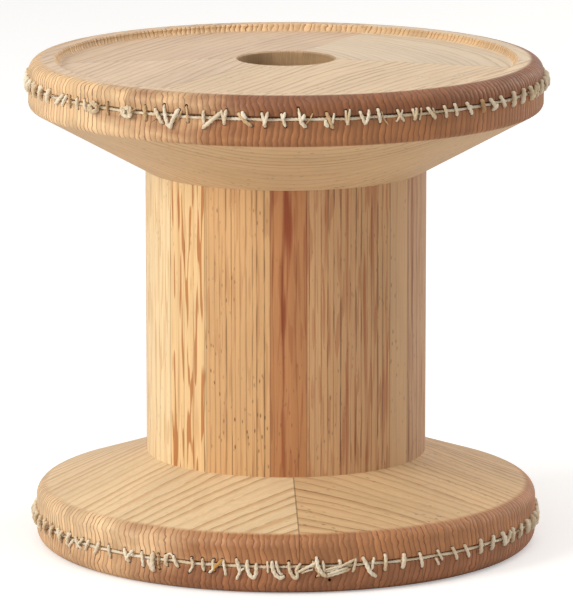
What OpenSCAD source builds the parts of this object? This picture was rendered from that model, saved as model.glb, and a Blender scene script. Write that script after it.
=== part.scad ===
// Laced wooden spool for thread or ribbon.
// A coopered barrel of glued staves stands between two flanges. Each flange is two
// plies of mitred boards, and a cord and short twine stitches close the seam that
// runs round its edge. All sizes are millimetres, +Z is up, the front is -Y and the
// origin is the middle of the foot, on the surface that the spool stands on.

/* [Overall] */
// Height of the whole spool, foot to top rim
total_h = 106.7; // [100:0.1:115]
// Radius of the upper flange
top_r = 56; // [54:0.1:60]
// Radius of the lower flange, turned a shade smaller
foot_r = 54.8; // [53:0.1:60]
// Radius of the spindle hole
bore_r = 10.5; // [8:0.1:12]

/* [Barrel] */
// Outer radius of the barrel
barrel_r = 30.6; // [29.5:0.1:33]
// Outer radius of the core tube inside the staves
core_r = 20.5; // [18:0.1:20.5]
// Height where the barrel leaves the lower flange
barrel_z0 = 20.1; // [19:0.1:22]
// Height where the barrel meets the upper flange
barrel_z1 = 82.6; // [78:0.1:84]
// Length of the tongue at each stave's end
tongue_l = 5; // [3:0.1:6]
// Radial thickness of the tongue
tongue_t = 4.4; // [3:0.1:5]

/* [Flanges] */
// Height of the seam between the two plies of the lower flange
foot_seam_z = 6.2; // [6:0.1:6.8]
// Height of the seam between the two plies of the upper flange
top_seam_z = 102.1; // [101.5:0.1:102.2]
// Radius on the outer edge of the face plies and of the lower flange's upper edge
edge_round = 2.9; // [2:0.1:3.2]
// Radius on the lower edge of the upper flange
lip_round = 1.5; // [0.8:0.1:2]
// Slope of the lower flange's winding face, in degrees
foot_slope = 18.3; // [12:0.1:20]
// Slope of the upper flange's winding face, in degrees
top_slope = 28.8; // [22:0.1:29]

/* [Recessed faces] */
// Width of the raised rim, from its edge to the recess
rim_w = 6.1; // [4.5:0.1:8]
// Depth of the recess beside the rim
recess_h = 1.6; // [1.5:0.1:2]
// Slope of the recess floor, which rises towards the spindle hole, in degrees
face_slope = 2.1; // [0.5:0.1:2.1]
// Radius of the hollow corner where the rim meets the recess floor
recess_round = 1.2; // [0.5:0.1:1.3]
// Chamfer at the mouth of the spindle hole
mouth = 0.3; // [0.2:0.1:0.5]

/* [Lacing] */
// Radius of the seam cord
cord_r = 0.34; // [0.25:0.01:0.36]
// Radius of the stitching twine
twine_r = 0.42; // [0.3:0.01:0.45]
// Number of even stitches round the sides and back of the upper flange
upper_even = 53; // [40:1:56]
// Number of even stitches round the sides and back of the lower flange
lower_even = 57; // [40:1:60]
// Half the length of an even stitch, hole to hole
stitch_half = 1.5; // [1.3:0.1:1.8]
// Depth that a stitch's ends go into the wood
stitch_in = 2.4; // [1.5:0.1:3]
// Radius of a knot
knot_r = 1.15; // [0.8:0.05:1.3]

/* [Hidden] */
$fn = 96;

// room left for glue round the tube and the tongues
glue = 0.1;

// chamfer on the inner edge of the raised rims
rim_break = 0.3;

// how far a rounding runs into the faces that it joins
overlap = 0.01;

// groove in the edge of each flange that holds the cord
groove_d = 0.95;
groove_up = 0.5;
groove_down = 0.45;
groove_break = 0.2;

// the cord lies low in its groove, behind the stitches
cord_in = 0.44;
cord_drop = 0.1;

// clearance of a stitch over the edge, and round it in its hole
stitch_gap = 0.12;
hole_gap = 0.06;
leg_r = twine_r - 0.12;

// how far a lacing hole reaches past the board that it is cut in, in degrees
hole_reach = 1;

// angles, from +X turning towards +Y, where the boards of each ply meet
face_cut = [233, 355, 430, 538, 593];
foot_cut = [302, 392, 482, 572, 662];
upper_cut = [183, 363, 543];
lower_cut = [-87, 93, 273];

// angles where the staves meet
stave_cut = [215.5, 236, 263.6, 278.5, 317, 329, 2, 28, 60, 93, 124, 156, 185, 215.5];

// leans of the even stitches from upright, in degrees, repeated round the edge
leans = [0, 14, -18, 6, 22, -8, 0, -24, 12, 4, -14, 18, -4, 26, -10, 8];

// the uneven stitches of the front, each by its upper and its lower hole: the angle
// from the front, positive to the right, and the height over the seam
upper_front = [
    [-57.3, 1.15, -60.6, -1.35], [-55.8, 1.15, -57.6, -1.15], [-54.6, 1.15, -54.6, -1.15],
    [-51.8, 1.15, -51.7, -1.15], [-49.3, 1.15, -48.8, -1.15], [-41.9, 1.25, -41.8, -1.15],
    [-31.7, 1.52, -31.5, -1.45], [-29.2, 1.15, -27.3, -1.8], [-27, 2.15, -25.8, -2.55],
    [-23.4, 1.3, -24.9, -1.5], [-21.8, 2.25, -21.4, -1.15], [-14, 1.15, -18.1, -2.25],
    [-12.8, 1.75, -13.2, -1.25], [-10.2, 1.15, -7.3, -1.45], [-5.2, 1.35, -4.4, -1.65],
    [-1, 1.15, -0.1, -1.55], [2.6, 2.35, 4.2, -1.65], [8.6, 1.3, 10, -2.05],
    [12.8, 1.65, 13.1, -1.15], [15.9, 1.35, 17, -1.15], [19.9, 1.75, 20.5, -1.25],
    [24.4, 1.15, 26, -1.15], [29, 1.25, 28.5, -1.15], [30.2, 1.15, 29.8, -1.15],
    [31.8, 1.15, 33.8, -1.15], [36.1, 1.15, 36.7, -1.15], [39, 1.35, 39.7, -1.15],
    [42.5, 1.15, 44.2, -1.45], [47.2, 1.15, 47.7, -1.15], [50, 1.15, 52, -1.15],
    [53.7, 1.15, 55.5, -1.15]];
lower_front = [
    [-52.5, 1.15, -54.6, -1.15], [-50.2, 1.15, -51.5, -1.2], [-46.6, 1.15, -48.2, -1.4],
    [-43.6, 1.15, -43, -1.4], [-38.8, 1.15, -37.4, -1.5], [-34, 1.15, -33.5, -2.1],
    [-30.9, 1.2, -30.7, -2.7], [-29.6, 1.15, -29.3, -2.1], [-27.8, 1.15, -27.3, -1.2],
    [-25.8, 1.15, -24.6, -1.15], [-21.3, 1.15, -22, -2.1], [-18.8, 1.15, -18.4, -1.5],
    [-16.1, 1.15, -17.3, -1.8], [-14.2, 1.15, -16, -1.3], [-11, 1.5, -10.2, -1.15],
    [-8.6, 1.15, -8.1, -1.6], [-3.1, 1.2, -0.4, -2], [0.6, 1.15, 1.3, -1.7],
    [5.9, 1.15, 6.8, -2.2], [6.9, 1.66, 8.6, -1.78], [17.2, 1.5, 20.4, -2.9],
    [22.4, 1.8, 22.4, -1.8], [27, 1.4, 26.7, -1.6], [31.1, 1.2, 31.8, -2],
    [35.9, 1.15, 37.3, -1.15], [40.2, 1.15, 41.6, -1.6], [43.9, 1.15, 45.4, -1.7]];

// the arcs that the even stitches fill, in degrees from the front
upper_arc = [56.8, 298.2];
lower_arc = [46.9, 304];

// angles from the front of the two knots on the upper seam
knot_at = [-46, -36];

// the long strands beside one stitch of the lower seam, each by its free end and its hole
fan = [[14, 0.45, 9.7, -1.15], [14.3, -0.5, 9.7, -2.1], [14.4, -1.4, 9.7, -3.05]];

// middle radius of the tongue
tongue_mid = (core_r + barrel_r) / 2 - 0.4;

// evenly spaced stitches along an arc of the edge, each with its own lean
function even_stitches(n, arc, r) = [for (i = [0 : n - 1])
    let (mid = arc[0] + (arc[1] - arc[0]) * (i + 0.5) / n,
        lean = leans[i % len(leans)],
        side = stitch_half * sin(lean) / r * 180 / PI,
        up = stitch_half * cos(lean))
    [mid + side, up, mid - side, -up]];

upper_lacing = concat(upper_front, even_stitches(upper_even, upper_arc, top_r));
lower_lacing = concat(lower_front, even_stitches(lower_even, lower_arc, foot_r));

// every hole of a set of stitches, as its angle and its height
function both_holes(list) = [for (s = list) for (k = [0, 2]) [s[k], s[k + 1]]];
upper_holes = both_holes(upper_lacing);
lower_holes = concat(both_holes(lower_lacing), [for (s = fan) [s[2], s[3]]]);

// a slice of a turned ring, between two angles
module slice(a0, a1) {
    rotate([0, 0, a0]) rotate_extrude(angle = a1 - a0, $fn = 180) children();
}

// the quarter of a circle that rounds an outer edge
module quarter_round(r) {
    intersection() {
        circle(r);
        square(r + 1);
    }
}

// half section of a face ply, seam at 0 and rim at h, with the groove's upper part
module face_section(r, h) {
    wall = r - rim_w;
    // middle of the hollow corner, and the point where it meets the sloping floor
    cx = wall - recess_round;
    cz = h - recess_h + recess_round;
    tx = cx - recess_round * sin(face_slope);
    tz = cz - recess_round * cos(face_slope);
    mouth_z = tz + (tx - bore_r) * tan(face_slope);
    difference() {
        union() {
            translate([bore_r, 0]) square([r - bore_r, h - edge_round]);
            translate([bore_r, 0]) square([r - edge_round - bore_r, h]);
            translate([r - edge_round, h - edge_round]) quarter_round(edge_round);
        }
        // recess
        polygon([[0, tz + tx * tan(face_slope)], [tx, tz], [cx, cz], [wall, cz],
            [wall, h - rim_break], [wall + rim_break, h], [wall + rim_break, h + 1],
            [0, h + 1]]);
        translate([cx, cz]) circle(recess_round + overlap);
        // mouth of the hole
        polygon([[0, mouth_z - mouth], [bore_r, mouth_z - mouth],
            [bore_r + mouth, mouth_z], [bore_r + mouth, h], [0, h]]);
        // groove for the cord
        translate([r - groove_d, -1]) square([groove_d + 1, groove_up + 1]);
        polygon([[r + 1, groove_up - 1], [r - groove_break, groove_up],
            [r, groove_up + groove_break], [r + 1, groove_up + groove_break]]);
    }
}

// half section of a cone ply, seam at 0 and the barrel's shoulder at h
module cone_section(r, h, slope, round_r) {
    edge_h = h - (r - barrel_r) * tan(slope);
    cx = r - round_r;
    cz = edge_h - round_r * (1 - sin(slope)) / cos(slope);
    difference() {
        union() {
            polygon([[core_r + glue, 0], [r, 0], [r, cz], [cx, cz],
                [cx + round_r * sin(slope), cz + round_r * cos(slope)],
                [barrel_r, h], [core_r + glue, h]]);
            translate([cx, cz]) quarter_round(round_r + overlap);
        }
        // ring groove for the tongues of the staves
        translate([tongue_mid - tongue_t / 2 - glue, h - tongue_l - glue])
            square([tongue_t + 2 * glue, tongue_l + 1]);
        // groove for the cord
        translate([r - groove_d, -1]) square([groove_d + 1, groove_down + 1]);
        polygon([[r + 1, groove_down - 1], [r - groove_break, groove_down],
            [r, groove_down + groove_break], [r + 1, groove_down + groove_break]]);
    }
}

// puts its children on the edge of a flange, at an angle from the front, leaning left
module on_edge(angle, r, z, lean) {
    rotate([0, 0, angle - 90]) translate([r, 0, z]) rotate([lean, 0, 0]) children();
}

// the small lacing holes that fall inside a slice
module lacing_holes(list, r, z, a0, a1) {
    for (s = list) {
        near = a0 + (s[0] - 90 - a0 + 1080) % 360;
        if (near < a1 + hole_reach || near > a0 + 360 - hole_reach)
            on_edge(s[0], r - stitch_in - hole_gap, z + s[1], 0)
                rotate([0, 90, 0]) cylinder(r = leg_r + hole_gap, h = stitch_in + 1);
    }
}

// a bar of twine laid over the edge from one hole to the next
module bar(s, r, z, thick, out) {
    side = (s[0] - s[2]) * PI / 180 * r;
    rise = s[1] - s[3];
    half = norm([side, rise]) / 2;
    on_edge((s[0] + s[2]) / 2, r + out, z + (s[1] + s[3]) / 2, -atan2(side, rise))
        translate([0, 0, -half - leg_r / 2]) cylinder(r = thick, h = 2 * half + leg_r);
}

// the end of a bar, turned into its hole
module leg(angle, height, r, z, out) {
    on_edge(angle, r - stitch_in, z + height, 0)
        rotate([0, 90, 0]) cylinder(r = leg_r, h = stitch_in + out);
}

module core() {
    color([0.78, 0.62, 0.40])
    difference() {
        translate([0, 0, foot_seam_z]) cylinder(r = core_r, h = top_seam_z - foot_seam_z);
        translate([0, 0, foot_seam_z - 1])
            cylinder(r = bore_r, h = top_seam_z - foot_seam_z + 2);
    }
}

module stave(i, tone) {
    color(tone)
    slice(stave_cut[i], stave_cut[i + 1] + (stave_cut[i + 1] < stave_cut[i] ? 360 : 0)) {
        translate([core_r + glue, barrel_z0])
            square([barrel_r - core_r - glue, barrel_z1 - barrel_z0]);
        translate([tongue_mid - tongue_t / 2, barrel_z0 - tongue_l])
            square([tongue_t, barrel_z1 - barrel_z0 + 2 * tongue_l]);
    }
}

// a board of the upper face, recess and rim turned in one with it
module face_board(i, tone) {
    color(tone)
    difference() {
        translate([0, 0, top_seam_z])
            slice(face_cut[i], face_cut[i + 1]) face_section(top_r, total_h - top_seam_z);
        lacing_holes(upper_holes, top_r, top_seam_z, face_cut[i], face_cut[i + 1]);
    }
}

// a board of the foot, the same section turned over
module foot_board(i, tone) {
    color(tone)
    difference() {
        translate([0, 0, foot_seam_z])
            slice(foot_cut[i], foot_cut[i + 1]) mirror([0, 1]) face_section(foot_r, foot_seam_z);
        lacing_holes(lower_holes, foot_r, foot_seam_z, foot_cut[i], foot_cut[i + 1]);
    }
}

module upper_cone_board(i, tone) {
    color(tone)
    difference() {
        translate([0, 0, top_seam_z])
            slice(upper_cut[i], upper_cut[i + 1])
                mirror([0, 1])
                    cone_section(top_r, top_seam_z - barrel_z1, top_slope, lip_round);
        lacing_holes(upper_holes, top_r, top_seam_z, upper_cut[i], upper_cut[i + 1]);
    }
}

module lower_cone_board(i, tone) {
    color(tone)
    difference() {
        translate([0, 0, foot_seam_z])
            slice(lower_cut[i], lower_cut[i + 1])
                cone_section(foot_r, barrel_z0 - foot_seam_z, foot_slope, edge_round);
        lacing_holes(lower_holes, foot_r, foot_seam_z, lower_cut[i], lower_cut[i + 1]);
    }
}

module seam_cord(r, z) {
    color([0.90, 0.82, 0.66])
    translate([0, 0, z])
        rotate_extrude($fn = 180) translate([r - cord_in, 0]) circle(cord_r, $fn = 24);
}

// stitches over a seam, each with both ends in the wood
module stitch_ring(list, r, z) {
    out = twine_r + stitch_gap;
    color([0.93, 0.87, 0.74])
    for (s = list) {
        bar(s, r, z, twine_r, out);
        leg(s[0], s[1], r, z, out);
        leg(s[2], s[3], r, z, out);
    }
}

// two round knots that stand on the cord between stitches
module knots() {
    color([0.93, 0.87, 0.74])
    for (k = knot_at)
        on_edge(k, top_r + knot_r - cord_in / 6, top_seam_z, 0) sphere(knot_r);
}

// three long strands laid slantwise over the seam, one end of each in the wood
module fan_strands() {
    out = leg_r + stitch_gap;
    color([0.93, 0.87, 0.74])
    for (s = fan) {
        bar(s, foot_r, foot_seam_z, leg_r, out);
        leg(s[2], s[3], foot_r, foot_seam_z, out);
    }
}

pale = [0.90, 0.76, 0.55];
honey = [0.86, 0.68, 0.45];
tan = [0.80, 0.62, 0.42];
red = [0.74, 0.50, 0.31];
grey = [0.82, 0.70, 0.56];

core();  // core_tube
stave(0, pale);  // barrel_stave_01
stave(1, tan);  // barrel_stave_02
stave(2, red);  // barrel_stave_03
stave(3, honey);  // barrel_stave_04
stave(4, pale);  // barrel_stave_05
stave(5, tan);  // barrel_stave_06
stave(6, honey);  // barrel_stave_07
stave(7, pale);  // barrel_stave_08
stave(8, tan);  // barrel_stave_09
stave(9, honey);  // barrel_stave_10
stave(10, pale);  // barrel_stave_11
stave(11, red);  // barrel_stave_12
stave(12, honey);  // barrel_stave_13
face_board(0, tan);  // face_board_front_right
face_board(1, pale);  // face_board_back_right
face_board(2, grey);  // face_board_back_left
face_board(3, grey);  // face_board_front_left
foot_board(0, honey);  // foot_board_back_right
foot_board(1, tan);  // foot_board_back_left
foot_board(2, honey);  // foot_board_front_left
foot_board(3, tan);  // foot_board_front_right
upper_cone_board(0, honey);  // upper_cone_board_front
upper_cone_board(1, pale);  // upper_cone_board_back
lower_cone_board(0, honey);  // lower_cone_board_right
lower_cone_board(1, pale);  // lower_cone_board_left
seam_cord(top_r, top_seam_z - cord_drop);  // upper_seam_cord
stitch_ring(upper_lacing, top_r, top_seam_z);  // upper_stitches
knots();  // upper_knots
seam_cord(foot_r, foot_seam_z - cord_drop);  // lower_seam_cord
stitch_ring(lower_lacing, foot_r, foot_seam_z);  // lower_stitches
fan_strands();  // lower_fan_strands
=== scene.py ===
"""Dresses a laced wooden spool and sets it on a pale floor under soft light.

The spool's boards and staves come ready shaped in the frame. This script gives each of them
its own cut of solid wood, replaces the plain lacing with twisted twine, and adds the floor,
the lamps and the camera. Lengths are metres unless a name says mm.
"""

import logging
import math
import random
from dataclasses import dataclass, field
from enum import Enum

import bpy
import numpy as np
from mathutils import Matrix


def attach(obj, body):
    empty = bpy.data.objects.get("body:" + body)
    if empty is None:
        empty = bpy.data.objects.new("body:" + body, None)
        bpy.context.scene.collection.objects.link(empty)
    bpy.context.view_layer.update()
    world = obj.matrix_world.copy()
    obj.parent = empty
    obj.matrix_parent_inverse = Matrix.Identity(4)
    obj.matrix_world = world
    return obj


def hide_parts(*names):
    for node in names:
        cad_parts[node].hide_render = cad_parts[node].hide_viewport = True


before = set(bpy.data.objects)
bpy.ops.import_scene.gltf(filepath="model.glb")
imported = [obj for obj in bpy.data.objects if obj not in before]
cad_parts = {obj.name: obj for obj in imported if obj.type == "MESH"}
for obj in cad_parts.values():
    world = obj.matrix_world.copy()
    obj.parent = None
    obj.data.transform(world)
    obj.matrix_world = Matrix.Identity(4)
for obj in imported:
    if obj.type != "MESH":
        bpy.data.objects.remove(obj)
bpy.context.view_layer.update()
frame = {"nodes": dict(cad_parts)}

logging.basicConfig(level=logging.INFO, format="%(message)s")
log = logging.getLogger("spool")

MM = 0.001
SEED = 20


# shared helpers


def linear(hex_colour: str) -> tuple[float, float, float, float]:
    """Turns an sRGB hex colour into the linear colour that shaders use.

    Args:
        hex_colour: Six hex digits, such as "d8bb9d".

    Returns:
        Linear red, green and blue, and an alpha of 1.
    """
    parts = [int(hex_colour[i : i + 2], 16) / 255 for i in (0, 2, 4)]
    r, g, b = [p / 12.92 if p <= 0.04045 else ((p + 0.055) / 1.055) ** 2.4 for p in parts]
    return (r, g, b, 1.0)


def add(
    tree: bpy.types.NodeTree,
    kind: str,
    inputs: dict | tuple = (),
    out: int = 0,
    **settings: object,
) -> bpy.types.NodeSocket:
    """Adds a shader node, sets it up and links it.

    Args:
        tree: The node tree to add to.
        kind: The node's type, without its ShaderNode prefix.
        inputs: Sockets to link or values to set, in order or by name or index.
        out: The index of the output to return.
        **settings: The node's own properties.

    Returns:
        The output socket asked for.
    """
    node = tree.nodes.new("ShaderNode" + kind)
    for name, value in settings.items():
        setattr(node, name, value)
    pairs = inputs.items() if isinstance(inputs, dict) else enumerate(inputs)
    for key, value in pairs:
        if isinstance(value, bpy.types.NodeSocket):
            tree.links.new(value, node.inputs[key])
        else:
            node.inputs[key].default_value = value
    return node.outputs[out] if node.outputs else None


def new_material(name: str) -> tuple[bpy.types.Material, bpy.types.NodeTree]:
    """Makes an empty node material.

    Args:
        name: The material's name.

    Returns:
        The material and its cleared node tree.
    """
    material = bpy.data.materials.new(name)
    material.use_nodes = True
    material.node_tree.nodes.clear()
    return material, material.node_tree


# wood


class Cut(Enum):
    """How a piece was cut from the plank, which sets the way its grain runs."""

    BOARD = "board"
    STAVE = "stave"
    TUBE = "tube"


@dataclass(frozen=True)
class Grain:
    """The figure of one piece of wood, in millimetres and degrees.

    Growth rings are planes that stand nearly square to the face. Each ring ends in a
    darker line of late wood, and open pores show as short dashes along the grain.
    """

    early: str = "d8bb9d"
    late: str = "b08e6e"
    streak: str = "b97a45"
    angle: float = 65.0
    spacing: float = 2.0
    late_width: float = 0.45
    late_amount: float = 0.7
    fine_amount: float = 0.5
    warp: float = 3.0
    wobble: float = 0.35
    bow: float = 0.0
    streak_amount: float = 0.0
    dash_amount: float = 0.0
    pore_amount: float = 0.3
    mottle: float = 0.10
    seed: float = 0.0


@dataclass(frozen=True)
class Edge:
    """The turned edge of a flange board, where the end grain stands in upright lines, with painted
    shade towards the front and right.
    """

    outer_mm: float
    start_mm: float
    full_mm: float
    seam_z_mm: float
    # pale is the wood's own colour; dark is the same wood in painted shade, laid on the front and
    # right away from the key lamp, between the two angles from the front given below
    pale: str = "dcb68a"
    dark: str = "a56a3f"
    line: str = "6a3a1a"
    shade_from: float = -60.0
    shade_to: float = -12.0
    curl: float = 0.5
    wall_mm: float = 0.0
    lines_round: int = 262


@dataclass(frozen=True)
class WoodFinish:
    """Bare sanded wood. It gives a soft satin with fine ridges along the grain."""

    name: str
    cut: Cut
    grain: Grain
    edge: Edge | None = None
    cuts: tuple[float, ...] = ()
    middle: float = 0.0
    bore_mm: float = 10.5
    roughness: float = 0.56
    relief_mm: float = 0.16

    def coordinates(self, tree: bpy.types.NodeTree) -> tuple:
        """Works out where a point lies in the plank and round the spool.

        Args:
            tree: The material's node tree.

        Returns:
            The point in mm, the point along and across the grain, and its radius in mm.
        """
        place = add(tree, "TexCoord", out=3)
        mm = add(tree, "VectorMath", (place, (1000.0,) * 3), operation="MULTIPLY")
        flat = add(tree, "VectorMath", (mm, (1.0, 1.0, 0.0)), operation="MULTIPLY")
        radius = add(tree, "VectorMath", (flat,), out=1, operation="LENGTH")
        angle = self.middle if self.cut is not Cut.BOARD else self.grain.angle
        turned = add(
            tree,
            "VectorRotate",
            {"Vector": mm, "Angle": -math.radians(angle)},
            rotation_type="Z_AXIS",
        )
        if self.cut is Cut.BOARD:
            return mm, turned, radius
        parts = add(tree, "SeparateXYZ", (turned,)).node.outputs
        return mm, add(tree, "CombineXYZ", (parts[2], parts[1], parts[0])), radius

    def noise(
        self,
        tree: bpy.types.NodeTree,
        where: bpy.types.NodeSocket,
        stretch: tuple[float, float, float],
        detail: float = 2.0,
        shift: float = 0.0,
    ) -> bpy.types.NodeSocket:
        """Adds soft noise whose blobs have the given size along, across and through.

        Args:
            tree: The material's node tree.
            where: The point in mm.
            stretch: The blob's size in mm on the three axes.
            detail: How much finer noise is laid over it.
            shift: Moves the noise, so that two of them differ.

        Returns:
            The noise, from 0 to 1.
        """
        moved = add(
            tree,
            "VectorMath",
            (
                where,
                tuple(1 / s for s in stretch),
                tuple(self.grain.seed * k + shift for k in (3.7, 5.1, 7.3)),
            ),
            operation="MULTIPLY_ADD",
        )
        return add(tree, "TexNoise", {"Vector": moved, "Scale": 1.0, "Detail": detail})

    def rings(
        self, tree: bpy.types.NodeTree, along: bpy.types.NodeSocket
    ) -> tuple[bpy.types.NodeSocket, bpy.types.NodeSocket]:
        """Draws the growth rings.

        Args:
            tree: The material's node tree.
            along: The point along and across the grain, in mm.

        Returns:
            The strength of the broad late wood and of the fine dark lines, each 0 to 1.
        """
        g = self.grain
        parts = add(tree, "SeparateXYZ", (along,)).node.outputs
        big = self.noise(tree, along, (70, 24, 30))
        small = self.noise(tree, along, (11, 5, 6), 1.0, 40.0)
        bent = add(tree, "Math", (parts[0], parts[0]), operation="MULTIPLY")
        across = add(tree, "Math", (bent, g.bow, parts[1]), operation="MULTIPLY_ADD")
        across = add(tree, "Math", (big, 2 * g.warp, across), operation="MULTIPLY_ADD")
        across = add(tree, "Math", (small, 2 * g.wobble, across), operation="MULTIPLY_ADD")
        uneven = add(
            tree,
            "TexNoise",
            {"W": across, "Scale": 1 / (2.6 * g.spacing), "Detail": 1.0},
            noise_dimensions="1D",
        )
        count = add(tree, "Math", (across, 1 / g.spacing), operation="MULTIPLY")
        count = add(tree, "Math", (uneven, 1.5, count), operation="MULTIPLY_ADD")
        part = add(tree, "Math", (count,), operation="FRACT")
        number = add(tree, "Math", (count,), operation="FLOOR")
        number = add(tree, "Math", (number, g.seed * 13.0), operation="ADD")
        luck = add(tree, "TexWhiteNoise", {"W": number}, noise_dimensions="1D")
        rise = add(
            tree,
            "MapRange",
            (part, 1 - g.late_width, 0.96, 0.0, 1.0),
            interpolation_type="SMOOTHSTEP",
        )
        fall = add(tree, "MapRange", (part, 0.96, 1.0, 1.0, 0.0))
        late = add(tree, "Math", (rise, fall), operation="MULTIPLY")
        depth = add(tree, "MapRange", (luck, 0.0, 1.0, 0.35, 1.0))
        late = add(tree, "Math", (late, depth), operation="MULTIPLY")
        near = add(tree, "Math", (part, 0.5), operation="SUBTRACT")
        near = add(tree, "Math", (near,), operation="ABSOLUTE")
        thin = min(0.35, 0.24 / g.spacing)
        fine = add(tree, "MapRange", (near, 0.5 - thin, 0.5, 0.0, 1.0))
        broken = self.noise(tree, along, (9, 0.7, 0.7), 1.0, 80.0)
        broken = add(
            tree, "MapRange", (broken, 0.38, 0.56, 0.0, 1.0), interpolation_type="SMOOTHSTEP"
        )
        fine = add(tree, "Math", (fine, broken), operation="MULTIPLY")
        keep = add(tree, "MapRange", (luck, 0.25, 0.75, 0.15, 1.0))
        fine = add(tree, "Math", (fine, keep), operation="MULTIPLY")
        return late, fine

    def face(self, tree: bpy.types.NodeTree, along: bpy.types.NodeSocket) -> tuple:
        """Colours the face of the piece.

        Args:
            tree: The material's node tree.
            along: The point along and across the grain, in mm.

        Returns:
            The colour, and the height of the surface from 0 to 1.
        """
        g = self.grain
        late, fine = self.rings(tree, along)
        cloud = self.noise(tree, along, (38, 13, 13), 3.0, 10.0)
        fibre = self.noise(tree, along, (14, 0.34, 0.34), 2.0, 20.0)
        early = linear(g.early)
        shade = add(tree, "MapRange", (cloud, 0.3, 0.7, 1 - g.mottle, 1 + 0.6 * g.mottle))
        thread = add(tree, "MapRange", (fibre, 0.3, 0.7, 0.94, 1.05))
        level = add(tree, "Math", (shade, thread), operation="MULTIPLY")
        colour = add(
            tree,
            "VectorMath",
            {0: early[:3], "Scale": level},
            operation="SCALE",
        )
        amount = add(tree, "Math", (late, g.late_amount), operation="MULTIPLY")
        colour = add(
            tree, "Mix", {0: amount, 6: colour, 7: linear(g.late)}, out=2, data_type="RGBA"
        )
        if g.streak_amount:
            band = self.noise(tree, along, (34, 1.6, 2.4), 2.0, 30.0)
            band = add(
                tree,
                "MapRange",
                (band, 0.53, 0.70, 0.0, g.streak_amount),
                interpolation_type="SMOOTHSTEP",
            )
            colour = add(
                tree, "Mix", {0: band, 6: colour, 7: linear(g.streak)}, out=2, data_type="RGBA"
            )
        if g.dash_amount:
            dash = self.noise(tree, along, (10, 0.75, 1.2), 0.0, 50.0)
            dash = add(tree, "MapRange", (dash, 0.60, 0.66, 0.0, g.dash_amount))
            colour = add(
                tree, "Mix", {0: dash, 6: colour, 7: linear(g.streak)}, out=2, data_type="RGBA"
            )
        dark = add(
            tree,
            "VectorMath",
            {0: linear(g.late)[:3], "Scale": 0.22},
            operation="SCALE",
        )
        line = add(tree, "Math", (fine, g.fine_amount), operation="MULTIPLY")
        colour = add(tree, "Mix", {0: line, 6: colour, 7: dark}, out=2, data_type="RGBA")
        pores = self.pores(tree, along)
        colour = add(tree, "Mix", {0: pores, 6: colour, 7: dark}, out=2, data_type="RGBA")
        dip = add(tree, "Math", (line, pores), operation="MAXIMUM")
        height = add(tree, "Math", (fibre, 0.35, late), operation="MULTIPLY_ADD")
        height = add(tree, "Math", (height, dip), operation="SUBTRACT")
        return colour, height

    def pores(self, tree: bpy.types.NodeTree, along: bpy.types.NodeSocket):
        """Draws the open pores as short dashes, about 0.2 mm wide and 1 mm long.

        Args:
            tree: The material's node tree.
            along: The point along and across the grain, in mm.

        Returns:
            The strength of the pores, 0 to 1.
        """
        cell = add(
            tree,
            "VectorMath",
            (along, (1 / 2.6, 1 / 0.95, 1 / 0.95), (self.grain.seed,) * 3),
            operation="MULTIPLY_ADD",
        )
        spot = add(tree, "TexVoronoi", {"Vector": cell, "Scale": 1.0})
        spot = add(tree, "MapRange", (spot, 0.13, 0.22, 1.0, 0.0))
        patch = self.noise(tree, along, (22, 6, 6), 1.0, 60.0)
        patch = add(tree, "MapRange", (patch, 0.42, 0.66, 0.05, 1.0))
        spot = add(tree, "Math", (spot, patch), operation="MULTIPLY")
        return add(tree, "Math", (spot, self.grain.pore_amount), operation="MULTIPLY")

    def end_grain(
        self,
        tree: bpy.types.NodeTree,
        mm: bpy.types.NodeSocket,
        radius: bpy.types.NodeSocket,
    ) -> tuple:
        """Colours the turned edge with upright lines, one for each ring that ends there. On the outer
        band it also paints shade, darker from the lit left round to the front and right.

        Args:
            tree: The material's node tree.
            mm: The point in mm.
            radius: The radius in mm.

        Returns:
            The colour, and the height of the surface from 0 to 1.
        """
        e = self.edge
        parts = add(tree, "SeparateXYZ", (mm,)).node.outputs
        turn = add(tree, "Math", (parts[1], parts[0]), operation="ARCTAN2")
        place = self.noise(tree, mm, (3.2, 3.2, 6.0), 2.0, 5.0)
        swirl = self.noise(tree, mm, (2.2, 2.2, 1.6), 1.0, 15.0)
        high = add(tree, "Math", (parts[2], e.seam_z_mm), operation="SUBTRACT")
        high = add(tree, "Math", (high,), operation="ABSOLUTE")
        high = add(tree, "MapRange", (high, 1.4, 4.2, 0.0, 2.6 * e.curl))
        count = add(
            tree, "Math", (turn, e.lines_round / (2 * math.pi)), operation="MULTIPLY"
        )
        count = add(tree, "Math", (place, 0.9, count), operation="MULTIPLY_ADD")
        count = add(tree, "Math", (swirl, high, count), operation="MULTIPLY_ADD")
        part = add(tree, "Math", (count,), operation="FRACT")
        number = add(tree, "Math", (count,), operation="FLOOR")
        luck = add(tree, "TexWhiteNoise", {"W": number}, noise_dimensions="1D")
        near = add(tree, "Math", (part, 0.5), operation="SUBTRACT")
        near = add(tree, "Math", (near,), operation="ABSOLUTE")
        line = add(tree, "MapRange", (near, 0.36, 0.49, 0.0, 1.0))
        keep = add(tree, "MapRange", (luck, 0.1, 0.8, 0.30, 1.0))
        line = add(tree, "Math", (line, keep), operation="MULTIPLY")
        stain_and_shade_noise = self.noise(tree, mm, (14, 14, 5), 3.0, 25.0)
        shade_wander = add(tree, "MapRange", (stain_and_shade_noise, 0.3, 0.7, -14.0, 14.0))
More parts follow.
